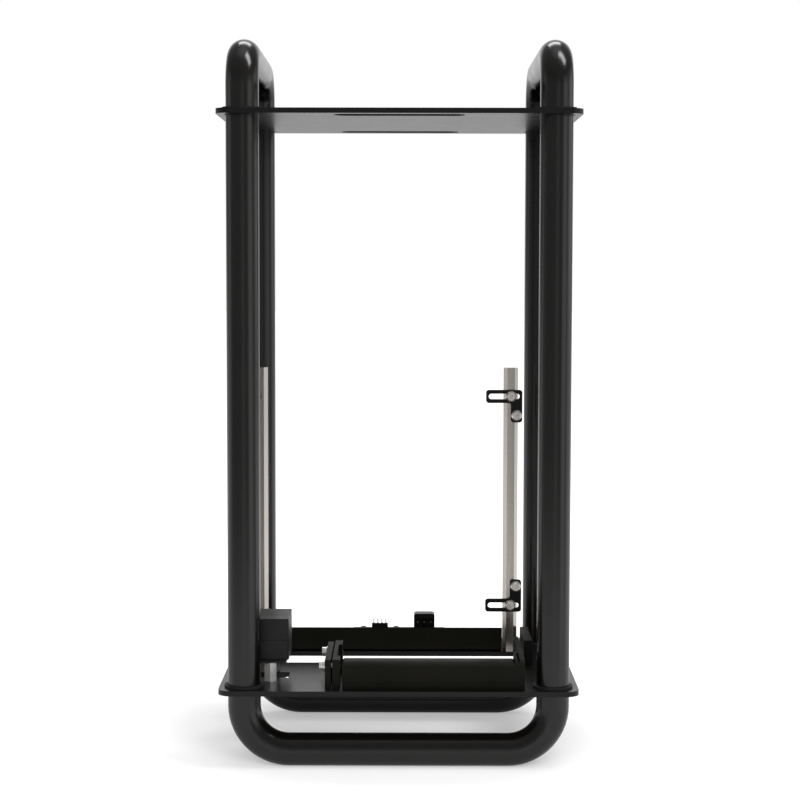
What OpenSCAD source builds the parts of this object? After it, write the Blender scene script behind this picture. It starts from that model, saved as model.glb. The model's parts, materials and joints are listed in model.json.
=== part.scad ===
// Open-frame computer case for a small square main board, standing upright.
// One closed loop of bent tube carries two flat plates. The board hangs between two hexagonal posts
// with its sockets facing down through the lower plate, and a graphics card stands in the cage in front.
// Origin: on the floor under the middle of the tube frame. +Z is up, the front faces -Y.

/* [Tube frame] */
// Spacing of the legs across the front, centre to centre
frame_w = 179; // [170:1:240]
// Spacing of the legs from front to back, centre to centre
frame_d = 132; // [126:1:180]
// Overall height over the handles
frame_h = 420; // [380:1:600]
// Outer diameter of the tube
tube_d = 19; // [16:0.5:21]
// Wall of the tube
tube_wall = 1.5; // [1:0.1:3]
// Radius of the bends at the floor, at the tube's centre
foot_bend_r = 26; // [22:0.5:34]
// Radius of the bends at the handles, at the tube's centre
handle_bend_r = 18; // [14:0.5:28]

/* [Plates] */
// Thickness of both plates
plate_t = 3; // [2:0.5:4]
// How far the plates reach past the tubes
plate_overhang = 5; // [3:0.5:12]
// Corner radius of the plates
plate_corner_r = 8; // [4:0.5:12]
// Height of the lower plate's underside
lower_plate_z = 43.5; // [40:0.5:60]
// Height of the upper plate's top below the top of the handles
upper_plate_drop = 41.5; // [38:0.5:60]
// Length of the two slots in the upper plate
hand_slot_l = 75; // [40:1:110]
// Width of the two slots in the upper plate
hand_slot_w = 13; // [8:0.5:14]
// Distance from a slot's middle to the plate's edge
hand_slot_inset = 13.5; // [12:0.5:18]
// Gap between a leg and its hole in a plate, filled by a rubber ring
leg_gap = 1; // [0.6:0.1:1.5]
// Height of the rubber ring's lip above the plate
ring_lip_h = 1.2; // [0.6:0.1:2]
// Width of the rubber ring's lip
ring_lip_w = 2; // [1.5:0.1:3]

/* [Main board] */
// Spacing of the board's hole columns
board_hole_w = 157.48; // [156:0.01:159]
// Side shift of the board from the middle of the frame
board_shift = -8.74; // [-12:0.01:0]
// Height of the lowest hole of the left column above the board's socket edge
board_hole_low = 10.16; // [9:0.01:12]
// Height of the lowest hole of the right column above the board's socket edge
board_hole_mid = 33.02; // [32:0.01:34]
// Height of the top holes of both columns above the board's socket edge
board_hole_high = 165.1; // [164:0.1:166]
// Distance from the right hole column to the board's right edge
board_margin = 6.2; // [6:0.1:7]
// Rear edge of the socket opening in the lower plate
socket_back_y = 34; // [32:0.5:38]
// Depth of the socket opening, front to back
socket_depth = 34; // [30:0.5:36]
// Distance from the board's left edge to the socket opening's left end
socket_inset = 2.5; // [2:0.1:4]

/* [Posts] */
// Width of a post across its flats
post_af = 8; // [7.5:0.1:9]
// Height of a post
post_h = 180; // [175:1:220]
// Radius of the tapped holes in the posts
post_tap_r = 1.5; // [1.25:0.05:1.7]
// Depth of the tapped holes in a post's front
post_tap_depth = 6; // [4:0.5:6.5]

/* [Brackets] */
// Thickness of a bracket
bracket_t = 2; // [1.5:0.1:3]
// Height of a bracket's slotted arm
arm_h = 8.2; // [7.5:0.1:10]
// Length of a bracket's slotted arm
arm_l = 22.7; // [21.5:0.1:30]
// Reach of the arm to the right of the post's middle
arm_reach = 7; // [6.4:0.1:8]
// Width of a bracket's leg
leg_w = 7.1; // [6.5:0.1:8]
// Height of a bracket, arm and leg together
bracket_h = 20.4; // [19:0.1:26]
// Distance of the leg's screw from the slot's middle line
leg_screw_drop = 12; // [11:0.1:12.5]
// Width of the arm's slot
slot_w = 3.5; // [3.3:0.1:3.8]
// Overall length of the arm's slot
slot_l = 19.5; // [16:0.1:19.5]
// Radius of a bracket's outer corners
bracket_corner_r = 1.8; // [1:0.1:2.4]
// Radius of the fillet between arm and leg
bracket_fillet_r = 1.5; // [0.5:0.1:2]

/* [Screws] */
// Head diameter of the round-headed screws
button_head_d = 6.8; // [6:0.1:7]
// Head height of the round-headed screws
button_head_h = 1.8; // [1.4:0.1:2.4]
// Shank radius of the small screws
screw_r = 1.45; // [1.2:0.05:1.45]
// Clearance round a screw's shank in a plain hole
screw_gap = 0.15; // [0.1:0.05:0.2]
// Width of the hexagonal key socket in a screw head, across flats
key_af = 2; // [1.5:0.1:2.5]
// Depth of the key socket
key_depth = 1; // [0.6:0.1:1.2]
// Head diameter of the countersunk screws under the plate
flat_head_d = 5.8; // [5:0.1:6]
// Head height of the countersunk screws
flat_head_h = 1.7; // [1.2:0.1:1.8]
// Reach of the countersunk screws above the plate
deck_screw_reach = 6; // [4:0.5:8]

/* [Rear rail] */
// Height of the rail behind the socket opening
rail_h = 15.1; // [15:0.1:20]
// Thickness of the rail's sheet
rail_t = 2; // [1.5:0.1:2.5]
// Depth of the rail's foot
rail_foot = 12; // [11:0.5:16]
// Outer bend radius of the rail
rail_bend_r = 3; // [2.6:0.1:4]
// Gap between the rail and the posts beside it
rail_gap = 0.3; // [0.2:0.1:1]

/* [Panel board] */
// Middle of the pin header, from the middle of the frame
header_x = -12.2; // [-20:0.1:-6]
// Pitch of the header's pins
pin_pitch = 2.54; // [2:0.01:2.54]
// Width of a square pin
pin_w = 0.64; // [0.5:0.02:0.8]
// Number of pins
pin_count = 4; // [3:1:5]
// Height of the header's base
header_h = 2.7; // [2:0.1:3]
// Length of the pins above the header's base
pin_rise = 3; // [2:0.1:8]
// Spacing of the two screws that hold the board
panel_screw_w = 20.6; // [18:0.1:24]
// Distance of those screws below the rail's top edge
panel_screw_drop = 2.7; // [2.5:0.1:4]
// Thickness of the board
panel_t = 1.6; // [1:0.1:2]
// Depth of the tapped holes for those screws in the rail
panel_tap_depth = 1.5; // [1:0.1:1.5]
// Gap between the board's lower edge and the rail's bend
panel_lift = 0.1; // [0.1:0.1:2]
// Length of the board beyond the left screw and beyond the socket
panel_margin = 6; // [5:0.5:9]
// Middle of the socket, from the middle of the frame
socket_x = 15.9; // [14:0.1:22]
// Width of the socket
socket_w = 13.1; // [12:0.1:15]
// Height of the socket
socket_h = 8.9; // [8.2:0.1:12]
// Depth of the socket, front to back
socket_len = 9; // [7:0.5:11]
// Radius of the socket's upper edges
socket_corner_r = 1.6; // [1:0.1:2.2]
// Width of each of the socket's three cavities
cavity_w = 3.2; // [2.8:0.1:3.4]
// Height of the socket's cavities
cavity_h = 5.4; // [4.5:0.1:5.6]
// Depth of the socket's cavities
cavity_depth = 6; // [4:0.5:6.5]
// Wall under the socket's cavities
socket_floor = 0.4; // [0.3:0.1:0.8]
// Width of a contact in the socket
contact_w = 1.3; // [0.8:0.1:1.6]
// Distance of the contacts behind the socket's mouth
contact_inset = 2.5; // [0.5:0.1:3]

/* [Card cage] */
// Height of the cage above the plate
cage_h = 16.9; // [15:0.1:22]
// Height of the front bar above the plate
bar_h = 15.7; // [14:0.1:20]
// Front face of the cage, from the middle of the frame
cage_front_y = -73.5; // [-74:0.1:-70]
// Left end of the front bar
bar_left_x = -32.6; // [-36:0.1:-30]
// Depth of the front bar, front to back
bar_depth = 16; // [14:0.5:17]
// Radius of the bar's upper front and rear edges
bar_edge_r = 5; // [3:0.5:7]
// Radius of the bar's upper corners at both ends
bar_corner_r = 2.5; // [1:0.5:4]
// Wall of the hollow bar
bar_wall = 2.2; // [1.8:0.1:2.8]
// Radius of the screw bosses inside the bar
boss_r = 3; // [2.6:0.1:3.4]
// Gap between the right arm and the legs beside it
arm_leg_gap = 7; // [6:0.1:9]
// Thickness of the right arm
right_arm_t = 2.9; // [2.5:0.1:3.4]
// Rear end of the right arm
right_arm_y = -2; // [-8:0.5:-0.5]
// Width of the arm's wide front end beside the bar
arm_end_w = 5.6; // [5:0.1:6]
// Length of that end, front to back
arm_end_l = 23; // [18:0.5:25]
// Radius of the end's upper front edge
arm_edge_r = 6.3; // [3:0.1:8]
// Width of the groove in the end's top
arm_groove_w = 1.4; // [0.8:0.1:2]
// Length of that groove, from the front
arm_groove_l = 20.8; // [14:0.1:22]
// Depth of that groove
arm_groove_depth = 3; // [1:0.1:4]
// Thickness of the fixed jaw
jaw_t = 4.4; // [4:0.1:5]
// Rear end of the jaw and the clamp
jaw_back_y = -15.5; // [-18:0.5:-14]
// Depth of the notch in the jaw for the card's bracket
jaw_notch = 2.2; // [1.5:0.1:2.4]
// Length of the jaw left full at its front end
jaw_front_l = 12; // [11.5:0.5:14]
// Length of the jaw left full at its rear end
jaw_rear_l = 13; // [8:0.5:14]
// Gap between the jaw and the front bar
jaw_gap = 1.2; // [0.5:0.1:2]
// Thickness of the clamp
clamp_t = 3.4; // [2:0.1:3.8]
// How much shorter the clamp is than the jaw, at its rear end
clamp_short = 4; // [2:0.5:5]
// Gap between the clamp and the jaw, for the card's bracket
clamp_gap = 0.9; // [0.8:0.1:1.5]
// Height of the clamp's screws above the plate
clamp_screw_rise = 11.5; // [9:0.1:12]
// Distance of the clamp's front screw from the clamp's front end
clamp_screw_front = 9.5; // [7:0.5:11]
// Distance of the clamp's rear screw from the clamp's rear end
clamp_screw_rear = 3.6; // [3.4:0.1:6]
// Head diameter of the clamp's screws
cap_head_d = 5.5; // [5:0.1:6]
// Head height of the clamp's screws
cap_head_h = 2.8; // [2.4:0.1:4]
// Diameter of the washers under those heads
washer_d = 6.6; // [6:0.1:7]
// Thickness of those washers
washer_t = 0.8; // [0.6:0.1:1.4]
// Front edge of the card opening in the lower plate
card_front_y = -54; // [-55:0.5:-52]
// Rear edge of the card opening
card_back_y = -15; // [-16:0.5:-14]
// Left edge of the card opening
card_left_x = -29; // [-30:0.5:-20]
// Distance of the card opening's right edge from the middle of the right legs
card_leg_gap = 5.5; // [4.5:0.5:7.5]
// Corner radius of the card opening
card_corner_r = 2; // [1:0.1:3]
// Gap round the blank that closes the card opening
blank_gap = 0.3; // [0.2:0.05:0.5]
// Width of the blank's lip under the plate
blank_lip_w = 2; // [1:0.1:3]
// Thickness of the blank's lip
blank_lip_t = 1.5; // [1:0.1:2]
// Reach of the blank's two ears past the card opening's ends
blank_ear_l = 8; // [7.5:0.5:9]
// Width of an ear, front to back
blank_ear_w = 9; // [8:0.5:12]
// Reach of the blank's screws into the plate
blank_screw_reach = 1.8; // [1.2:0.1:2]

/* [Board guides] */
// Thickness of a guide beside the board
guide_t = 5; // [4:0.1:6]
// Gap between a guide and the board's edge
guide_gap = 0.3; // [0.2:0.1:0.8]
// Height of a guide
guide_h = 15.1; // [14:0.1:18]
// Reach of a guide in front of the socket opening
guide_front = 6; // [4:0.5:8]
// Reach of a guide behind the socket opening
guide_rear = 5; // [4.5:0.5:6]
// Distance of a guide's screws from its ends
guide_screw_inset = 2.5; // [2:0.1:2.6]
// Depth of the groove that takes the edge of the socket shield
groove_depth = 1.2; // [0.8:0.1:1.8]
// Width of that groove
groove_w = 1.4; // [1:0.1:2]

/* [Power inlet] */
// Distance of the inlet's middle from the left legs, towards the right
inlet_from_legs = 14.2; // [12.5:0.1:15.5]
// Distance of the inlet's middle behind the front legs
inlet_behind_legs = 30; // [29:0.1:33]
// Width of the inlet's housing
inlet_w = 21.4; // [20:0.1:24]
// Depth of the inlet's housing, front to back
inlet_d = 34; // [31:0.1:36]
// Height of the lower half of the housing
inlet_low_h = 11.4; // [11:0.1:13]
// Height of the upper half of the housing
inlet_top_h = 12.9; // [10:0.1:16]
// Radius of the housing's upright edges
inlet_corner_r = 1.2; // [0.6:0.1:3]
// Depth of the joint line round the housing
inlet_line = 0.4; // [0.2:0.1:0.8]
// Thickness of the flange under the housing
flange_t = 1.2; // [1:0.1:3]
// Width of the flange
flange_w = 19; // [17.5:0.5:20]
// Rim of the flange beyond the standoffs' flats
flange_rim = 1.3; // [1:0.1:2.5]
// Wall of the housing
inlet_wall = 2.4; // [2:0.1:3]
// Height of the standoffs under the flange
standoff_h = 11.3; // [9:0.1:14]
// Width of a standoff across its flats
standoff_af = 7; // [6:0.1:7.5]
// Length of the stud on a standoff's top
stud_l = 1.8; // [1:0.1:2]
// Spacing of the two standoffs
standoff_gap = 30.5; // [29:0.1:32]
// Width of the cable cut-out under the inlet
cutout_w = 20; // [16:0.5:22]
// Depth of the cable cut-out, front to back
cutout_d = 15.8; // [14:0.1:18]
// Width of a contact blade
blade_w = 4; // [3:0.1:4.5]
// Thickness of a contact blade
blade_t = 2; // [1.2:0.1:2.2]
// Length of a contact blade inside the mouth
blade_l = 8; // [6:0.5:10]
// Spacing of the blades
blade_pitch = 7; // [6:0.1:7.5]

/* [Hidden] */
// Fineness of round forms and the overrun of every cut
$fn = 48;
over = 1;
// Distance of a hexagon's corners from its middle, as a share of its width across flats
hex_share = 1 / sqrt(3);
// Clearance round a shank in a tapped hole
tap_gap = 0.05;

// Places worked out from the sizes above
leg_x = frame_w / 2;
leg_y = frame_d / 2;
tube_r = tube_d / 2;
handle_z = frame_h - tube_r;
leg_low_z = tube_r + foot_bend_r;
leg_high_z = handle_z - handle_bend_r;
plate_w = frame_w + tube_d + 2 * plate_overhang;
plate_d = frame_d + tube_d + 2 * plate_overhang;
deck_z = lower_plate_z + plate_t;
upper_z = frame_h - upper_plate_drop - plate_t;
leg_hole_r = tube_r + leg_gap;

board_z = lower_plate_z;
left_x = board_shift - board_hole_w / 2;
right_x = board_shift + board_hole_w / 2;
post_y = socket_back_y + post_af / 2;
post_corner_r = post_af * hex_share;
socket_front_y = socket_back_y - socket_depth;
low_hole_z = board_z + board_hole_low;
mid_hole_z = board_z + board_hole_mid;
high_hole_z = board_z + board_hole_high;
board_left_edge = left_x - board_margin;
board_right_edge = right_x + board_margin;
socket_left_x = board_left_edge + socket_inset;
socket_right_x = board_right_edge;

screw_hole_r = screw_r + screw_gap;
deck_tap_r = screw_r + tap_gap;
flat_head_r = flat_head_d / 2;

// Bracket outline, from the slot screw at its origin
arm_left = arm_reach - arm_l;
arm_mid = arm_reach - arm_l / 2;
leg_mid = arm_reach - leg_w / 2;

rail_left_x = left_x + post_corner_r + rail_gap;
rail_right_x = right_x - post_corner_r - rail_gap;
rail_top_z = deck_z + rail_h;
panel_y = socket_back_y + rail_t;
panel_left_x = header_x - panel_screw_w / 2 - panel_margin;
panel_right_x = socket_x + socket_w / 2 + panel_margin;
panel_screw_z = rail_top_z - panel_screw_drop;
panel_h = rail_h - rail_bend_r - panel_lift;
header_w = pin_pitch * pin_count;
header_d = pin_pitch;
header_y = panel_y + panel_t - header_d / 2;
socket_y = socket_back_y + rail_t / 2;

arm_right_x = leg_x - tube_r - arm_leg_gap;
bar_right_x = arm_right_x - arm_end_w;
card_right_x = leg_x - card_leg_gap;
jaw_right_x = bar_left_x - jaw_gap;
jaw_left_x = jaw_right_x - jaw_t;
clamp_right_x = jaw_left_x - clamp_gap;
clamp_left_x = clamp_right_x - clamp_t;
jaw_l = jaw_back_y - cage_front_y;
clamp_l = jaw_l - clamp_short;
clamp_screw_ys = [cage_front_y + clamp_screw_front, cage_front_y + clamp_l - clamp_screw_rear];
clamp_screw_z = deck_z + clamp_screw_rise;
arm_mid_x = arm_right_x - right_arm_t / 2;

guide_left_x = board_left_edge - guide_gap - guide_t;
guide_right_x = board_right_edge + guide_gap;
guide_front_y = socket_front_y - guide_front;
guide_l = socket_depth + guide_front + guide_rear;

inlet_x = inlet_from_legs - leg_x;
inlet_y = inlet_behind_legs - leg_y;
flange_z = deck_z + standoff_h;
flange_l = standoff_gap + standoff_af + 2 * flange_rim;
inlet_split_z = flange_z + flange_t + inlet_low_h;
standoff_ys = [inlet_y - standoff_gap / 2, inlet_y + standoff_gap / 2];
mouth_w = inlet_w - 2 * inlet_wall;
mouth_d = inlet_d - 2 * inlet_wall - standoff_af;

// Places of the screws that come up through the lower plate
bar_l = bar_right_x - bar_left_x;
bar_screw_shares = [0.16, 0.84];
bar_screws_at = [for (s = bar_screw_shares) [bar_left_x + s * bar_l, cage_front_y + bar_depth / 2]];
jaw_screws_at = [for (y = [cage_front_y + jaw_front_l / 2, jaw_back_y - jaw_rear_l / 2])
    [jaw_right_x - jaw_t / 2, y]];
right_arm_screws_at = [[bar_right_x + arm_end_w / 2, cage_front_y + bar_depth / 2],
    [arm_mid_x, (right_arm_y + card_back_y) / 2]];
rail_l = rail_right_x - rail_left_x;
rail_screw_shares = [0.12, 0.88];
rail_screws_at = [for (s = rail_screw_shares)
    [rail_left_x + s * rail_l, socket_back_y + (rail_bend_r + rail_foot) / 2]];
guide_screws_at = [for (x = [guide_left_x, guide_right_x],
    y = [guide_front_y + guide_screw_inset, guide_front_y + guide_l - guide_screw_inset]) [x + guide_t / 2, y]];
deck_screws_at = concat(bar_screws_at, jaw_screws_at, right_arm_screws_at, guide_screws_at);
blank_screws_at = [for (x = [card_left_x - blank_ear_l / 2, card_right_x + blank_ear_l / 2])
    [x, (card_front_y + card_back_y) / 2]];
post_screws_at = [[left_x, post_y], [right_x, post_y]];
standoff_screws_at = [for (y = standoff_ys) [inlet_x, y]];
legs_at = [for (x = [-leg_x, leg_x], y = [-leg_y, leg_y]) [x, y]];

// Shapes that several pieces share

// A flat slab with rounded corners, from its lowest corner
module slab(size, r) {
    translate([r, 0, 0]) cube([size[0] - 2 * r, size[1], size[2]]);
    translate([0, r, 0]) cube([size[0], size[1] - 2 * r, size[2]]);
    for (x = [r, size[0] - r], y = [r, size[1] - r]) translate([x, y, 0]) cylinder(h = size[2], r = r);
}

// A round-ended slot running along X, centred on its middle
module slot(l, w, h) {
    translate([(w - l) / 2, -w / 2, 0]) cube([l - w, w, h]);
    for (s = [-1, 1]) translate([s * (l - w) / 2, 0, 0]) cylinder(h = h, d = w);
}

// A hexagonal bar standing on its end, with corners at its left and right
module hex_bar(af, h) cylinder(h = h, r = af * hex_share, $fn = 6);

// A quarter bend of round bar in the XZ plane, from the +X axis to the +Z axis
module quarter_bend(r, d) rotate([90, 0, 0]) rotate_extrude(angle = 90) translate([r, 0]) circle(d = d);

// The closed loop of bar that the frame follows
module loop(d) {
    bar_x = leg_x - foot_bend_r;
    bar_y = leg_y - handle_bend_r;
    for (x = [-leg_x, leg_x], y = [-leg_y, leg_y])
        translate([x, y, leg_low_z]) cylinder(h = leg_high_z - leg_low_z, d = d);
    for (y = [-leg_y, leg_y]) {
        translate([-bar_x, y, tube_r]) rotate([0, 90, 0]) cylinder(h = 2 * bar_x, d = d);
        for (s = [0, 1]) mirror([s, 0, 0]) translate([bar_x, y, leg_low_z])
            mirror([0, 0, 1]) quarter_bend(foot_bend_r, d);
    }
    for (x = [-leg_x, leg_x]) {
        translate([x, -bar_y, handle_z]) rotate([-90, 0, 0]) cylinder(h = 2 * bar_y, d = d);
        for (s = [0, 1]) mirror([0, s, 0]) translate([x, bar_y, leg_high_z])
            rotate([0, 0, 90]) quarter_bend(handle_bend_r, d);
    }
}

// Holes for the legs through a plate
module leg_holes() for (p = legs_at) translate([p[0], p[1], -over])
    cylinder(h = plate_t + 2 * over, r = leg_hole_r);

// A rubber ring that fills the gap round a leg, with a lip on the plate
module leg_ring(z) for (p = legs_at) translate([p[0], p[1], z]) difference() {
    union() {
        cylinder(h = plate_t, r = leg_hole_r);
        translate([0, 0, plate_t]) cylinder(h = ring_lip_h, r = tube_r + ring_lip_w);
    }
    translate([0, 0, -over]) cylinder(h = plate_t + ring_lip_h + 2 * over, r = tube_r);
}

// The plain plate with its leg holes
module plate(z) translate([0, 0, z]) difference() {
    translate([-plate_w / 2, -plate_d / 2, 0]) slab([plate_w, plate_d, plate_t], plate_corner_r);
    leg_holes();
}

// A countersunk hole from the underside of the lower plate
module flat_hole(p) translate([p[0], p[1], lower_plate_z]) {
    translate([0, 0, -over]) cylinder(h = plate_t + 2 * over, r = screw_hole_r);
    cylinder(h = flat_head_h, r1 = flat_head_r, r2 = screw_hole_r);
    translate([0, 0, -over]) cylinder(h = over, r = flat_head_r);
}

// A countersunk screw in that hole
module flat_screw(p, reach) translate([p[0], p[1], lower_plate_z]) difference() {
    union() {
        cylinder(h = flat_head_h, r1 = flat_head_r - screw_gap, r2 = screw_r);
        cylinder(h = plate_t + reach, r = screw_r);
    }
    translate([0, 0, -over]) hex_bar(key_af, key_depth + over);
}

// The tapped hole that takes that screw
module deck_tap(p, reach) translate([p[0], p[1], deck_z - over])
    cylinder(h = reach + 2 * over, r = deck_tap_r);

// A round-headed screw, head towards -Y, seated on y = 0
module button_screw(l) rotate([90, 0, 0]) difference() {
    union() {
        cylinder(h = button_head_h, r1 = button_head_d / 2, r2 = button_head_d / 2 - button_head_h / 2);
        translate([0, 0, -l]) cylinder(h = l + over, r = screw_r);
    }
    translate([0, 0, button_head_h - key_depth]) hex_bar(key_af, key_depth + over);
}

// Frame and plates

module tube_frame() color("#1b1b1c") difference() {
    loop(tube_d);
    loop(tube_d - 2 * tube_wall);
}

module upper_plate() color("#232324") difference() {
    plate(upper_z);
    for (s = [-1, 1]) translate([0, s * (plate_d / 2 - hand_slot_inset), upper_z - over])
        slot(hand_slot_l, hand_slot_w, plate_t + 2 * over);
}

module lower_plate() color("#232324") difference() {
    plate(lower_plate_z);
    translate([socket_left_x, socket_front_y, lower_plate_z - over])
        cube([socket_right_x - socket_left_x, socket_depth, plate_t + 2 * over]);
    translate([card_left_x, card_front_y, lower_plate_z - over])
        slab([card_right_x - card_left_x, card_back_y - card_front_y, plate_t + 2 * over], card_corner_r);
    translate([inlet_x - cutout_w / 2, inlet_y - cutout_d / 2, lower_plate_z - over])
        cube([cutout_w, cutout_d, plate_t + 2 * over]);
    for (p = concat(deck_screws_at, rail_screws_at, post_screws_at, standoff_screws_at)) flat_hole(p);
    for (p = blank_screws_at) translate([p[0], p[1], lower_plate_z - over])
        cylinder(h = plate_t + 2 * over, r = deck_tap_r);
}

module upper_rings() color("#0d0d0e") leg_ring(upper_z);

module lower_rings() color("#0d0d0e") leg_ring(lower_plate_z);

// Posts that carry the main board

// A post with tapped holes in its front at the given heights
module post(x, hole_zs) color("#b9b3aa") difference() {
    translate([x, post_y, deck_z]) hex_bar(post_af, post_h);
    for (z = hole_zs) translate([x, socket_back_y - over, z]) rotate([-90, 0, 0])
        cylinder(h = post_tap_depth + over, r = post_tap_r);
    deck_tap([x, post_y], deck_screw_reach);
}

module left_post() post(left_x, [low_hole_z, high_hole_z]);

module right_post() post(right_x, [mid_hole_z, high_hole_z]);

module post_screws() color("#c9c9c9") for (p = post_screws_at) flat_screw(p, deck_screw_reach);

// Slotted brackets on the right post

// A rectangle with rounded corners
module rounded_square(at, size, r) translate(at) {
    translate([r, 0]) square([size[0] - 2 * r, size[1]]);
    translate([0, r]) square([size[0], size[1] - 2 * r]);
    for (x = [r, size[0] - r], y = [r, size[1] - r]) translate([x, y]) circle(r = r);
}

// The outline of a bracket, its slot screw at the origin and its leg hanging down
module bracket_outline() difference() {
    union() {
        rounded_square([arm_left, -arm_h / 2], [arm_l, arm_h], bracket_corner_r);
        translate([arm_reach - leg_w, arm_h / 2 - bracket_h])
            rounded_square([0, 0], [leg_w, bracket_h], bracket_corner_r);
        translate([arm_reach - leg_w - bracket_fillet_r, -arm_h / 2 - bracket_fillet_r]) difference() {
            square([bracket_fillet_r + bracket_corner_r, bracket_fillet_r + bracket_corner_r]);
            circle(r = bracket_fillet_r);
        }
    }
    translate([arm_mid, 0]) {
        for (s = [-1, 1]) translate([s * (slot_l - slot_w) / 2, 0]) circle(d = slot_w);
        translate([(slot_w - slot_l) / 2, -slot_w / 2]) square([slot_l - slot_w, slot_w]);
    }
    translate([leg_mid, -leg_screw_drop]) circle(r = post_tap_r);
}

// A bracket on the post's front, upright or with its leg turned up
module bracket(z, turn) color("#17171a") translate([right_x, socket_back_y, z]) mirror([0, 0, turn])
    rotate([90, 0, 0]) linear_extrude(bracket_t) bracket_outline();

module upper_bracket() bracket(high_hole_z, 0);

module lower_bracket() bracket(mid_hole_z, 1);

module slot_screws() color("#cfcac2") for (z = [mid_hole_z, high_hole_z])
    translate([right_x, socket_back_y - bracket_t, z]) button_screw(post_tap_depth);

module leg_screws() color("#cfcac2") for (z = [mid_hole_z + leg_screw_drop, high_hole_z - leg_screw_drop])
    translate([right_x + leg_mid, socket_back_y - bracket_t, z]) button_screw(bracket_t - tap_gap);

// Rail behind the socket opening, and the small board on its back

module rear_rail() color("#1c1c1e") difference() {
    translate([rail_left_x, socket_back_y, deck_z]) rotate([90, 0, 90]) linear_extrude(rail_l) {
        translate([0, rail_bend_r]) square([rail_t, rail_h - rail_bend_r]);
        translate([rail_bend_r, 0]) square([rail_foot - rail_bend_r, rail_t]);
        translate([rail_bend_r, rail_bend_r]) intersection() {
            difference() {
                circle(r = rail_bend_r);
                circle(r = rail_bend_r - rail_t);
            }
            translate([-rail_bend_r, -rail_bend_r]) square([rail_bend_r, rail_bend_r]);
        }
    }
    for (p = rail_screws_at) deck_tap(p, rail_t);
    for (s = [-1, 1]) translate([header_x + s * panel_screw_w / 2, panel_y + over, panel_screw_z])
        rotate([90, 0, 0]) cylinder(h = panel_tap_depth + over, r = deck_tap_r);
}

module rail_screws() color("#1a1a1a") for (p = rail_screws_at) flat_screw(p, rail_t);

module panel_board() color("#14171a") difference() {
    translate([panel_left_x, panel_y, rail_top_z - panel_h])
        cube([panel_right_x - panel_left_x, panel_t, panel_h]);
    for (s = [-1, 1]) translate([header_x + s * panel_screw_w / 2, panel_y - over, panel_screw_z])
        rotate([-90, 0, 0]) cylinder(h = panel_t + 2 * over, r = screw_hole_r);
}

module panel_screws() color("#c9c6c0") for (s = [-1, 1])
    translate([header_x + s * panel_screw_w / 2, panel_y + panel_t, panel_screw_z])
        rotate([0, 0, 180]) button_screw(panel_t + panel_tap_depth - tap_gap);

// One pin of the header, or its hole, from a height upwards
module header_pin(i, w, z, h)
    translate([header_x + (i - (pin_count - 1) / 2) * pin_pitch - w / 2, header_y - w / 2, z]) cube([w, w, h]);

module header_base() color("#0c0c0d") difference() {
    translate([header_x - header_w / 2, header_y - header_d / 2, rail_top_z])
        cube([header_w, header_d, header_h]);
    for (i = [0 : pin_count - 1]) header_pin(i, pin_w + 2 * tap_gap, rail_top_z - over, header_h + 2 * over);
}

module header_pins() color("#c8b98c") for (i = [0 : pin_count - 1])
    header_pin(i, pin_w, rail_top_z, header_h + pin_rise);

// Middles of the socket's three cavities
cavity_xs = [for (i = [-1 : 1]) socket_x + i * (cavity_w + (socket_w - 3 * cavity_w) / 4)];

module panel_socket() color("#101012") difference() {
    translate([socket_x - socket_w / 2, socket_y + socket_len, rail_top_z]) rotate([90, 0, 0])
        linear_extrude(socket_len) {
            square([socket_w, socket_h - socket_corner_r]);
            translate([socket_corner_r, 0]) square([socket_w - 2 * socket_corner_r, socket_h]);
            for (x = [socket_corner_r, socket_w - socket_corner_r])
                translate([x, socket_h - socket_corner_r]) circle(r = socket_corner_r);
        }
    for (x = cavity_xs) translate([x - cavity_w / 2, socket_y - over, rail_top_z + socket_floor])
        cube([cavity_w, cavity_depth + over, cavity_h]);
}

module socket_pins() color("#b9b1a0") for (x = cavity_xs)
    translate([x - contact_w / 2, socket_y + contact_inset, rail_top_z + socket_floor + (cavity_h - contact_w) / 2])
        cube([contact_w, cavity_depth - contact_inset, contact_w]);

// Cage for the graphics card's bracket

// The front bar's solid form: a rounded section cut to its rounded end outline
module bar_form(in, low) {
    w = bar_l - 2 * in;
    d = bar_depth - 2 * in;
    h = bar_h - in;
    er = bar_edge_r - in;
    intersection() {
        translate([bar_left_x + in, cage_front_y + in, deck_z]) rotate([90, 0, 90]) linear_extrude(w) {
            translate([0, -low]) square([d, h - er + low]);
            translate([er, -low]) square([d - 2 * er, h + low]);
            for (y = [er, d - er]) translate([y, h - er]) circle(r = er);
        }
        translate([bar_left_x + in, cage_front_y + in + d, deck_z]) rotate([90, 0, 0]) linear_extrude(d) {
            translate([0, -low]) square([w, h - bar_corner_r + low]);
            translate([bar_corner_r, -low]) square([w - 2 * bar_corner_r, h + low]);
            for (x = [bar_corner_r, w - bar_corner_r]) translate([x, h - bar_corner_r]) circle(r = bar_corner_r);
        }
    }
}

module front_bar() color("#1e1e1d") difference() {
    union() {
        difference() {
            bar_form(0, 0);
            bar_form(bar_wall, over);
        }
        for (p = bar_screws_at) translate([p[0], p[1], deck_z]) cylinder(h = bar_h - bar_wall / 2, r = boss_r);
    }
    for (p = bar_screws_at) deck_tap(p, deck_screw_reach);
}

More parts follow.
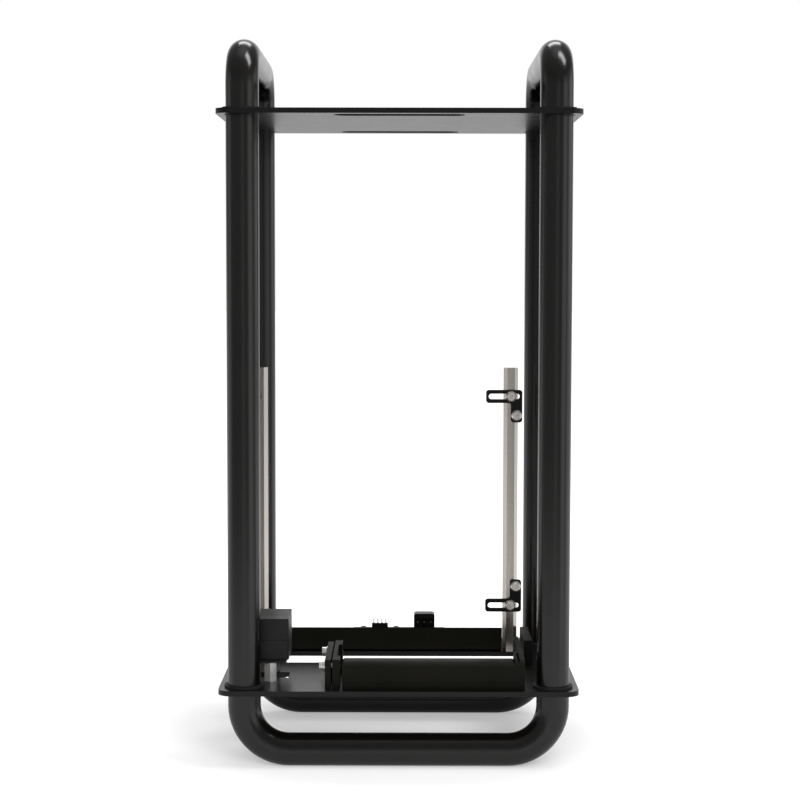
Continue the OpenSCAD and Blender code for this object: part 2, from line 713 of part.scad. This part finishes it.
// The arm is a thin plate with a wide front end, rounded at its top and grooved like a clamp
module right_arm() color("#1f1f20") difference() {
    union() {
        translate([bar_right_x, cage_front_y, deck_z]) rotate([90, 0, 90]) linear_extrude(arm_end_w) {
            square([arm_end_l, cage_h - arm_edge_r]);
            translate([arm_edge_r, 0]) square([arm_end_l - arm_edge_r, cage_h]);
            translate([arm_edge_r, cage_h - arm_edge_r]) circle(r = arm_edge_r);
        }
        translate([arm_right_x - right_arm_t, cage_front_y + arm_end_l - over, deck_z])
            cube([right_arm_t, right_arm_y - cage_front_y - arm_end_l + over, cage_h]);
    }
    translate([arm_right_x - right_arm_t - arm_groove_w, cage_front_y - over, deck_z + cage_h - arm_groove_depth])
        cube([arm_groove_w, arm_groove_l + over, arm_groove_depth + over]);
    for (p = right_arm_screws_at) deck_tap(p, deck_screw_reach);
}

// A hole along X for one of the clamp's screws
module clamp_hole(y, x, l, r) translate([x - over, y, clamp_screw_z]) rotate([0, 90, 0])
    cylinder(h = l + 2 * over, r = r);

module fixed_jaw() color("#2a2a2b") difference() {
    translate([jaw_left_x, cage_front_y, deck_z]) cube([jaw_t, jaw_l, cage_h]);
    translate([jaw_right_x - jaw_notch, cage_front_y + jaw_front_l, deck_z - over])
        cube([jaw_notch + over, jaw_l - jaw_front_l - jaw_rear_l, cage_h + 2 * over]);
    for (y = clamp_screw_ys) clamp_hole(y, jaw_left_x, jaw_t, deck_tap_r);
    for (p = jaw_screws_at) deck_tap(p, deck_screw_reach);
}

module clamp() color("#2a2a2b") difference() {
    translate([clamp_left_x, cage_front_y, deck_z]) cube([clamp_t, clamp_l, cage_h]);
    for (y = clamp_screw_ys) clamp_hole(y, clamp_left_x, clamp_t, screw_hole_r);
}

module clamp_screws() color("#d2d0cc") for (y = clamp_screw_ys)
    translate([clamp_left_x - washer_t, y, clamp_screw_z]) rotate([0, 90, 0]) difference() {
        union() {
            translate([0, 0, -cap_head_h]) cylinder(h = cap_head_h, d = cap_head_d);
            cylinder(h = washer_t + clamp_t + clamp_gap + jaw_t, r = screw_r);
        }
        translate([0, 0, -cap_head_h - over]) hex_bar(key_af, key_depth + over);
    }

module clamp_washers() color("#d8d6d2") for (y = clamp_screw_ys)
    translate([clamp_left_x - washer_t, y, clamp_screw_z]) rotate([0, 90, 0]) difference() {
        cylinder(h = washer_t, d = washer_d);
        translate([0, 0, -over]) cylinder(h = washer_t + 2 * over, r = screw_hole_r);
    }

// The blank fills the card opening flush, with a lip and two ears under the plate
module slot_blank() color("#262627") {
    w = card_right_x - card_left_x;
    d = card_back_y - card_front_y;
    difference() {
        union() {
            translate([card_left_x + blank_gap, card_front_y + blank_gap, lower_plate_z])
                slab([w - 2 * blank_gap, d - 2 * blank_gap, plate_t], card_corner_r - blank_gap);
            translate([card_left_x - blank_lip_w, card_front_y - blank_lip_w, lower_plate_z - blank_lip_t])
                slab([w + 2 * blank_lip_w, d + 2 * blank_lip_w, blank_lip_t], card_corner_r);
            translate([card_left_x - blank_ear_l, (card_front_y + card_back_y - blank_ear_w) / 2,
                lower_plate_z - blank_lip_t])
                slab([w + 2 * blank_ear_l, blank_ear_w, blank_lip_t], card_corner_r);
        }
        for (p = blank_screws_at) translate([p[0], p[1], lower_plate_z - blank_lip_t - over])
            cylinder(h = blank_lip_t + 2 * over, r = screw_hole_r);
    }
}

module blank_screws() color("#1a1a1a") for (p = blank_screws_at)
    translate([p[0], p[1], lower_plate_z - blank_lip_t]) rotate([90, 0, 0])
        button_screw(blank_lip_t + blank_screw_reach);

// Guides beside the board's edges

// A guide bar with a groove for the socket shield on its board side
module guide(x, groove_x) color("#141416") difference() {
    translate([x, guide_front_y, deck_z]) cube([guide_t, guide_l, guide_h]);
    translate([groove_x, socket_front_y, deck_z + groove_w]) cube([groove_depth, socket_depth, groove_w]);
    for (p = guide_screws_at) deck_tap(p, deck_screw_reach);
}

module left_guide() guide(guide_left_x, guide_left_x + guide_t - groove_depth);

module right_guide() guide(guide_right_x, guide_right_x);

module deck_screws() color("#1a1a1a") for (p = deck_screws_at) flat_screw(p, deck_screw_reach);

// Power inlet on two standoffs

module inlet_base() color("#1d1d1f") difference() {
    union() {
        translate([inlet_x - inlet_w / 2, inlet_y - inlet_d / 2, flange_z + flange_t])
            slab([inlet_w, inlet_d, inlet_low_h], inlet_corner_r);
        translate([inlet_x - flange_w / 2, inlet_y - flange_l / 2, flange_z])
            slab([flange_w, flange_l, flange_t], inlet_corner_r);
    }
    translate([inlet_x - mouth_w / 2, inlet_y - mouth_d / 2, flange_z - over])
        cube([mouth_w, mouth_d, flange_t + inlet_low_h - inlet_wall + over]);
    for (y = standoff_ys) translate([inlet_x, y, flange_z - over])
        cylinder(h = stud_l + over, r = deck_tap_r);
    for (i = [-1 : 1]) inlet_blade(i, tap_gap);
}

module inlet_cover() color("#242426") {
    translate([inlet_x - inlet_w / 2 + inlet_line, inlet_y - inlet_d / 2 + inlet_line, inlet_split_z])
        slab([inlet_w - 2 * inlet_line, inlet_d - 2 * inlet_line, inlet_line], inlet_corner_r);
    translate([inlet_x - inlet_w / 2, inlet_y - inlet_d / 2, inlet_split_z + inlet_line])
        slab([inlet_w, inlet_d, inlet_top_h - inlet_line], inlet_corner_r);
}

// One contact blade, with a gap round it for its hole
module inlet_blade(i, gap)
    translate([inlet_x - blade_t / 2 - gap, inlet_y + i * blade_pitch - blade_w / 2 - gap,
        inlet_split_z - inlet_wall - blade_l])
        cube([blade_t + 2 * gap, blade_w + 2 * gap, blade_l + inlet_wall + gap]);

module inlet_blades() color("#c4b27a") for (i = [-1 : 1]) inlet_blade(i, 0);

module inlet_standoffs() color("#d5d2cd") for (y = standoff_ys) difference() {
    union() {
        translate([inlet_x, y, deck_z]) rotate([0, 0, 30]) hex_bar(standoff_af, standoff_h);
        translate([inlet_x, y, flange_z - over]) cylinder(h = stud_l + over, r = screw_r);
    }
    deck_tap([inlet_x, y], deck_screw_reach);
}

module standoff_screws() color("#c9c9c9") for (p = standoff_screws_at) flat_screw(p, deck_screw_reach);

tube_frame();
upper_plate();
lower_plate();
upper_rings();
lower_rings();
left_post();
right_post();
post_screws();
upper_bracket();
lower_bracket();
slot_screws();
leg_screws();
rear_rail();
rail_screws();
panel_board();
panel_screws();
header_base();
header_pins();
panel_socket();
socket_pins();
front_bar();
right_arm();
fixed_jaw();
clamp();
clamp_screws();
clamp_washers();
slot_blank();
blank_screws();
left_guide();
right_guide();
deck_screws();
inlet_base();
inlet_cover();
inlet_blades();
inlet_standoffs();
standoff_screws();
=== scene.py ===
import math
import bpy
from mathutils import Matrix, Vector
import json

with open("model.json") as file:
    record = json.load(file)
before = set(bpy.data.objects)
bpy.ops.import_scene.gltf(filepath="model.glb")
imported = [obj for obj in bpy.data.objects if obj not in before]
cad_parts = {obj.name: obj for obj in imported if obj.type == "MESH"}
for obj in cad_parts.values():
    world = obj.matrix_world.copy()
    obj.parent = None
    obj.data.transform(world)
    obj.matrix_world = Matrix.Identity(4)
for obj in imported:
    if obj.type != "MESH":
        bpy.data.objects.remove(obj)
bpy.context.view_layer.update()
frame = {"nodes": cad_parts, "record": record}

MM = 0.001
WHITE = (1, 1, 1, 1)
nodes = frame["nodes"]
scene = bpy.context.scene
scene.view_settings.view_transform = "Standard"

# Camera: a long lens in front, at two thirds of the object's height and nearly level

CAMERA_AT = Vector((3.375, -1148.71, 287.73)) * MM
PITCH_DOWN = math.radians(3.945)
YAW_RIGHT = math.radians(-0.149)
# The roll lifts the camera's right side
ROLL = math.radians(0.1)
LENS = 85
SENSOR_WIDTH = 36
CLIP_NEAR = 0.05
CLIP_FAR = 60

camera_data = bpy.data.cameras.new("camera")
camera_data.lens = LENS
camera_data.sensor_width = SENSOR_WIDTH
camera_data.sensor_fit = "HORIZONTAL"
camera_data.clip_start = CLIP_NEAR
camera_data.clip_end = CLIP_FAR
camera = bpy.data.objects.new("camera", camera_data)
scene.collection.objects.link(camera)
ahead = Vector((
    math.sin(YAW_RIGHT) * math.cos(PITCH_DOWN),
    math.cos(YAW_RIGHT) * math.cos(PITCH_DOWN),
    -math.sin(PITCH_DOWN),
))
level_right = ahead.cross(Vector((0, 0, 1))).normalized()
level_up = level_right.cross(ahead)
camera_right = level_right * math.cos(ROLL) + level_up * math.sin(ROLL)
camera_up = level_up * math.cos(ROLL) - level_right * math.sin(ROLL)
turn = Matrix((camera_right, camera_up, -ahead)).transposed()
camera.matrix_world = Matrix.Translation(CAMERA_AT) @ turn.to_4x4()
scene.camera = camera

# Shader nodes that the materials and the world share

NOISE_ROUGHNESS = 0.55
# Nearly all of a noise lies in this span
NOISE_SPAN = (0.3, 0.7)


def new_material(name):
    """A new material, its node tree and its main shader."""
    material = bpy.data.materials.new(name)
    material.use_nodes = True
    tree = material.node_tree
    return material, tree, tree.nodes["Principled BSDF"]


def add(tree, kind, **settings):
    """A new node with the given settings."""
    node = tree.nodes.new(kind)
    for key, value in settings.items():
        setattr(node, key, value)
    return node


def object_point(tree, stretch=(1, 1, 1)):
    """The place on the object in metres, multiplied along X, Y and Z by stretch."""
    place = add(tree, "ShaderNodeTexCoord")
    mapping = add(tree, "ShaderNodeMapping")
    mapping.inputs["Scale"].default_value = stretch
    tree.links.new(place.outputs["Object"], mapping.inputs["Vector"])
    return mapping.outputs["Vector"]


def axes(tree, vector):
    """The X, Y and Z outputs of a vector."""
    split = add(tree, "ShaderNodeSeparateXYZ")
    tree.links.new(vector, split.inputs["Vector"])
    return split.outputs


def noise(tree, point, scale, detail=3):
    """Soft noise; scale is about how many of its patches fit into a metre."""
    texture = add(tree, "ShaderNodeTexNoise")
    texture.inputs["Scale"].default_value = scale
    texture.inputs["Detail"].default_value = detail
    texture.inputs["Roughness"].default_value = NOISE_ROUGHNESS
    tree.links.new(point, texture.inputs["Vector"])
    return texture.outputs["Fac"]


def ranged(tree, value, low, high, source=NOISE_SPAN):
    """Low at the source span's start and below, high at its end and above."""
    mapped = add(tree, "ShaderNodeMapRange")
    for name, end in zip(("From Min", "From Max", "To Min", "To Max"), (*source, low, high)):
        mapped.inputs[name].default_value = end
    tree.links.new(value, mapped.inputs["Value"])
    return mapped.outputs["Result"]


def blended(tree, share, low, high):
    """The colour low where share is 0, and high where it is 1."""
    blend = add(tree, "ShaderNodeMix", data_type="RGBA")
    blend.inputs["A"].default_value = (*low, 1)
    blend.inputs["B"].default_value = (*high, 1)
    tree.links.new(share, blend.inputs["Factor"])
    return blend.outputs["Result"]


def chosen(tree, choice, low, high):
    """Low where choice is 0, and high where it is 1; each is a number or a node's output."""
    pick = add(tree, "ShaderNodeMix", data_type="FLOAT")
    tree.links.new(choice, pick.inputs["Factor"])
    for name, value in (("A", low), ("B", high)):
        if isinstance(value, (int, float)):
            pick.inputs[name].default_value = value
        else:
            tree.links.new(value, pick.inputs[name])
    return pick.outputs["Result"]


def bump(tree, height, depth, below=None):
    """Relief of a depth in millimetres, on top of another relief if one is given."""
    relief = add(tree, "ShaderNodeBump")
    relief.inputs["Distance"].default_value = depth * MM
    tree.links.new(height, relief.inputs["Height"])
    if below is not None:
        tree.links.new(below, relief.inputs["Normal"])
    return relief.outputs["Normal"]


def set_ramp(ramp, stops):
    """Gives a colour ramp its grey stops, from (place, level) pairs in order."""
    elements = ramp.color_ramp.elements
    while len(elements) < len(stops):
        elements.new(1)
    for element, (place, level) in zip(elements, stops):
        element.position = place
        element.color = (level, level, level, 1)


# Finishes

# The smudges that vary the roughness are finer than the patches of colour by this factor
SMUDGE_FINENESS = 2.7


def grey(value, warm=0.0):
    """A grey with its red raised and its blue lowered by the share warm."""
    return (value * (1 + warm), value, value * (1 - warm))


def surface(name, low, high, rough, grain, depth, patch=35, stretch=(1, 1, 1), metallic=0.0,
            specular=0.5, wave=None):
    """A procedural finish: patches of colour, uneven roughness, a fine grain and perhaps faint waves."""
    material, tree, shader = new_material(name)
    point = object_point(tree, stretch)
    shader.inputs["Metallic"].default_value = metallic
    shader.inputs["Specular IOR Level"].default_value = specular
    patches = ranged(tree, noise(tree, point, patch), 0, 1)
    tree.links.new(blended(tree, patches, low, high), shader.inputs["Base Color"])
    smudges = noise(tree, point, patch * SMUDGE_FINENESS, detail=5)
    tree.links.new(ranged(tree, smudges, *rough), shader.inputs["Roughness"])
    relief = bump(tree, noise(tree, point, grain, detail=2), depth)
    if wave:
        wave_scale, wave_depth = wave
        relief = bump(tree, noise(tree, point, wave_scale, detail=1), wave_depth, below=relief)
    tree.links.new(relief, shader.inputs["Normal"])
    return material


# By material slot: two colours, the span of the roughness, how many grains fit into a metre, and their
# depth in millimetres. Patch is the count for the patches of colour, and a wave is a count and a depth.
FINISHES = {
    "tube_black": dict(
        low=(0.003, 0.0026, 0.0023), high=(0.0042, 0.0036, 0.0031), rough=(0.18, 0.24),
        grain=1800, depth=0.003, wave=(90, 0.006)),
    "plate_black": dict(
        low=grey(0.002), high=grey(0.0032), rough=(0.28, 0.31),
        grain=2200, depth=0.002, specular=0.3),
    "cage_black": dict(
        low=(0.003, 0.0029, 0.0016), high=(0.0044, 0.0042, 0.0026), rough=(0.55, 0.65),
        grain=2200, depth=0.006, specular=0.18),
    "bracket_black": dict(
        low=grey(0.0015, 0.1), high=grey(0.003, 0.1), rough=(0.4, 0.5),
        grain=2600, depth=0.006, specular=0.25),
    "guide_black": dict(
        low=grey(0.002), high=grey(0.0035), rough=(0.45, 0.58),
        grain=2600, depth=0.01, specular=0.25),
    "inlet_plastic": dict(
        low=grey(0.005), high=grey(0.008), rough=(0.38, 0.48),
        grain=2000, depth=0.01, specular=0.32),
    "ring_rubber": dict(
        low=grey(0.006), high=grey(0.01), rough=(0.6, 0.75),
        grain=1600, depth=0.02),
    "post_nickel": dict(
        low=grey(0.49, 0.085), high=grey(0.54, 0.08), rough=(0.2, 0.25),
        grain=500, depth=0.0015, patch=40, stretch=(4, 4, 0.2), metallic=0.95),
    "screw_nickel": dict(
        low=grey(0.62, 0.06), high=grey(0.74, 0.05), rough=(0.2, 0.3),
        grain=1500, depth=0.01, patch=300, metallic=0.8),
    "bright_steel": dict(
        low=grey(0.66, 0.01), high=grey(0.78, 0.01), rough=(0.14, 0.22),
        grain=1500, depth=0.006, patch=200, metallic=0.7),
    "dark_screw": dict(
        low=grey(0.012), high=grey(0.02), rough=(0.35, 0.45),
        grain=2500, depth=0.01),
    "board_dark": dict(
        low=(0.01, 0.014, 0.013), high=(0.014, 0.02, 0.018), rough=(0.3, 0.42),
        grain=2500, depth=0.01),
    "socket_plastic": dict(
        low=grey(0.002), high=grey(0.004), rough=(0.3, 0.42),
        grain=3000, depth=0.008, specular=0.25),
    # Brass, darkened well below its own colour as painted shade for contacts that sit deep in the socket's
    # cavities
    "contact_brass": dict(
        low=(0.2, 0.18, 0.14), high=(0.28, 0.25, 0.2), rough=(0.3, 0.42),
        grain=2500, depth=0.005, patch=400, metallic=1.0),
}
looks = {name: surface(name, **finish) for name, finish in FINISHES.items()}
for part in frame["record"]["subparts"]:
    materials = nodes[part["node"]].data.materials
    materials.clear()
    materials.append(looks[part["material_slot"]])

# Small broken edges that catch the light, by their width in millimetres

BROKEN_EDGES = {
    "slot_screws": 0.3,
    "leg_screws": 0.3,
    "clamp_screws": 0.2,
    "clamp_washers": 0.15,
    "left_post": 0.25,
    "right_post": 0.25,
    "inlet_standoffs": 0.2,
    "upper_bracket": 0.2,
    "lower_bracket": 0.2,
}
SHARP_EDGE = math.radians(50)

for name, width in BROKEN_EDGES.items():
    edges = nodes[name].modifiers.new("broken_edges", "BEVEL")
    edges.width = width * MM
    edges.segments = 2
    edges.limit_method = "ANGLE"
    edges.angle_limit = SHARP_EDGE

# Floor: white, and it keeps the object's shadow

FLOOR_REACH = 12
FLOOR_COLOUR = grey(0.6)
FLOOR_ROUGHNESS = 0.9
FLOOR_SPECULAR = 0.1
# White that the camera sees besides the lit floor: near the object, away from it, and where it changes
NEAR_GLOW = 0.4
FAR_GLOW = 1.0
GLOW_SPAN = (0.11, 0.3)
# The same in reflections
# The same in reflections, where the floor glows as painted light that no lamp gives; the glow is lower near
# the object, where the floor lies in its shade
NEAR_MIRRORED = 0.1
FAR_MIRRORED = 0.5
MIRRORED_SPAN = (0.12, 0.6)
# In reflections the floor fades out with the distance, like a table that ends, but not behind the object
TABLE_END_SPAN = (0.15, 1.15)
BEHIND_SPAN = (0.1, 0.4)


def floor_material():
    """The floor's white, with its glow for the camera and its table end for reflections."""
    material, tree, shader = new_material("floor_white")
    shader.inputs["Base Color"].default_value = (*FLOOR_COLOUR, 1)
    shader.inputs["Roughness"].default_value = FLOOR_ROUGHNESS
    shader.inputs["Specular IOR Level"].default_value = FLOOR_SPECULAR
    shader.inputs["Emission Color"].default_value = WHITE
    ray = add(tree, "ShaderNodeLightPath").outputs
    point = object_point(tree)
    distance = add(tree, "ShaderNodeVectorMath", operation="LENGTH")
    tree.links.new(point, distance.inputs[0])
    away = distance.outputs["Value"]

    seen = ranged(tree, away, NEAR_GLOW, FAR_GLOW, GLOW_SPAN)
    # Painted light in reflections: the floor's glow for reflection rays, lower near the object where the
    # floor is shaded
    mirrored = ranged(tree, away, NEAR_MIRRORED, FAR_MIRRORED, MIRRORED_SPAN)
    glow = chosen(tree, ray["Is Glossy Ray"], 0.0, mirrored)
    glow = chosen(tree, ray["Is Transmission Ray"], glow, mirrored)
    glow = chosen(tree, ray["Is Camera Ray"], glow, seen)
    tree.links.new(glow, shader.inputs["Emission Strength"])

    faded = ranged(tree, away, 0, 1, TABLE_END_SPAN)
    behind = ranged(tree, axes(tree, point)["Y"], 0, 1, BEHIND_SPAN)
    faded = chosen(tree, behind, faded, 0.0)
    faded = chosen(tree, ray["Is Glossy Ray"], 0.0, faded)
    clear = add(tree, "ShaderNodeBsdfTransparent")
    whole = add(tree, "ShaderNodeMixShader")
    tree.links.new(faded, whole.inputs["Fac"])
    tree.links.new(shader.outputs["BSDF"], whole.inputs[1])
    tree.links.new(clear.outputs["BSDF"], whole.inputs[2])
    tree.links.new(whole.outputs["Shader"], tree.nodes["Material Output"].inputs["Surface"])
    return material


floor_mesh = bpy.data.meshes.new("floor")
floor_corners = [(FLOOR_REACH * x, FLOOR_REACH * y, 0) for x, y in ((-1, -1), (1, -1), (1, 1), (-1, 1))]
floor_mesh.from_pydata(floor_corners, [], [(0, 1, 2, 3)])
floor_mesh.materials.append(floor_material())
floor = bpy.data.objects.new("floor", floor_mesh)
scene.collection.objects.link(floor)

# World: white for the camera, soft panels in a dim room for reflections, and plain grey light on the object

WORLD_LIGHT = 0.38
ROOM = 0.3
# Panels as the object sees them: from and to, in degrees right of the camera's side, and their level
PANELS = (
    (-108, -84, 0.75),
    (-4, 16, 0.55),
    (43, 74, 1.15),
    (86, 124, 1.2),
)
# Half the width of a panel's soft edge, in degrees
PANEL_EDGE = 5
# The ceiling's level for reflections that look up, from 0 for level to 1 for straight up
CEILING = ((0.0, 0.2), (0.5, 0.2), (0.9, 0.3), (1.0, 0.9))
# How far up a reflection looks where the ceiling takes over from the panels
CEILING_SPAN = (0.15, 0.4)
# How far back a reflection looks where a white backdrop takes over from both
BACKDROP_SPAN = (0.72, 0.95)


def panel_stops():
    """Places from 0 to 1 round the object, starting at its back, with the level there."""
    stops = [(-180, ROOM), (180, ROOM)]
    for start, end, level in PANELS:
        stops.append((start - PANEL_EDGE, ROOM))
        stops.append((start + PANEL_EDGE, level))
        stops.append((end - PANEL_EDGE, level))
        stops.append((end + PANEL_EDGE, ROOM))
    return [((angle + 180) / 360, level) for angle, level in sorted(stops)]


def make_world():
    """The world's one background, with a strength that depends on the ray and its direction."""
    world = bpy.data.worlds.new("world")
    scene.world = world
    world.use_nodes = True
    tree = world.node_tree
    back = tree.nodes["Background"]
    back.inputs["Color"].default_value = WHITE
    ray = add(tree, "ShaderNodeLightPath").outputs
    direction = axes(tree, add(tree, "ShaderNodeTexCoord").outputs["Generated"])

    towards_camera = add(tree, "ShaderNodeMath", operation="MULTIPLY")
    towards_camera.inputs[1].default_value = -1
    tree.links.new(direction["Y"], towards_camera.inputs[0])
    around = add(tree, "ShaderNodeMath", operation="ARCTAN2")
    tree.links.new(direction["X"], around.inputs[0])
    tree.links.new(towards_camera.outputs["Value"], around.inputs[1])
    panels = add(tree, "ShaderNodeValToRGB")
    set_ramp(panels, panel_stops())
    tree.links.new(ranged(tree, around.outputs["Value"], 0, 1, (-math.pi, math.pi)), panels.inputs["Fac"])

    ceiling = add(tree, "ShaderNodeValToRGB")
    set_ramp(ceiling, CEILING)
    tree.links.new(direction["Z"], ceiling.inputs["Fac"])
    high_up = ranged(tree, direction["Z"], 0, 1, CEILING_SPAN)
    studio = chosen(tree, high_up, panels.outputs["Color"], ceiling.outputs["Color"])
    far_back = ranged(tree, direction["Y"], 0, 1, BACKDROP_SPAN)
    studio = chosen(tree, far_back, studio, 1.0)

    strength = chosen(tree, ray["Is Glossy Ray"], WORLD_LIGHT, studio)
    strength = chosen(tree, ray["Is Transmission Ray"], strength, 1.0)
    strength = chosen(tree, ray["Is Camera Ray"], strength, 1.0)
    tree.links.new(strength, back.inputs["Strength"])


make_world()

# Lamps: places and sizes in metres, power in watts

MIDDLE = (0, 0, 0.2)
HANDLES = (0, 0, 0.4)


def softbox(name, at, target, size, power, mirrored=False):
    """A soft lamp that aims at target; only a mirrored one shows in reflections."""
    lamp = bpy.data.lights.new(name, "AREA")
    lamp.shape = "RECTANGLE"
    lamp.size, lamp.size_y = size
    lamp.energy = power
    box = bpy.data.objects.new(name, lamp)
    scene.collection.objects.link(box)
    box.location = at
    box.rotation_euler = (Vector(target) - Vector(at)).to_track_quat("-Z", "Y").to_euler()
    box.visible_glossy = mirrored


softbox("left", (-1.4, -1.3, 1.7), MIDDLE, (0.8, 1.0), 5)
softbox("front", (0.2, -2.0, 1.25), MIDDLE, (1.8, 0.4), 34)
softbox("above", (0.93, -0.33, 2.0), HANDLES, (0.55, 1.1), 18, mirrored=True)
softbox("rear", (0, 1.3, 2.0), MIDDLE, (1.2, 0.5), 11, mirrored=True)
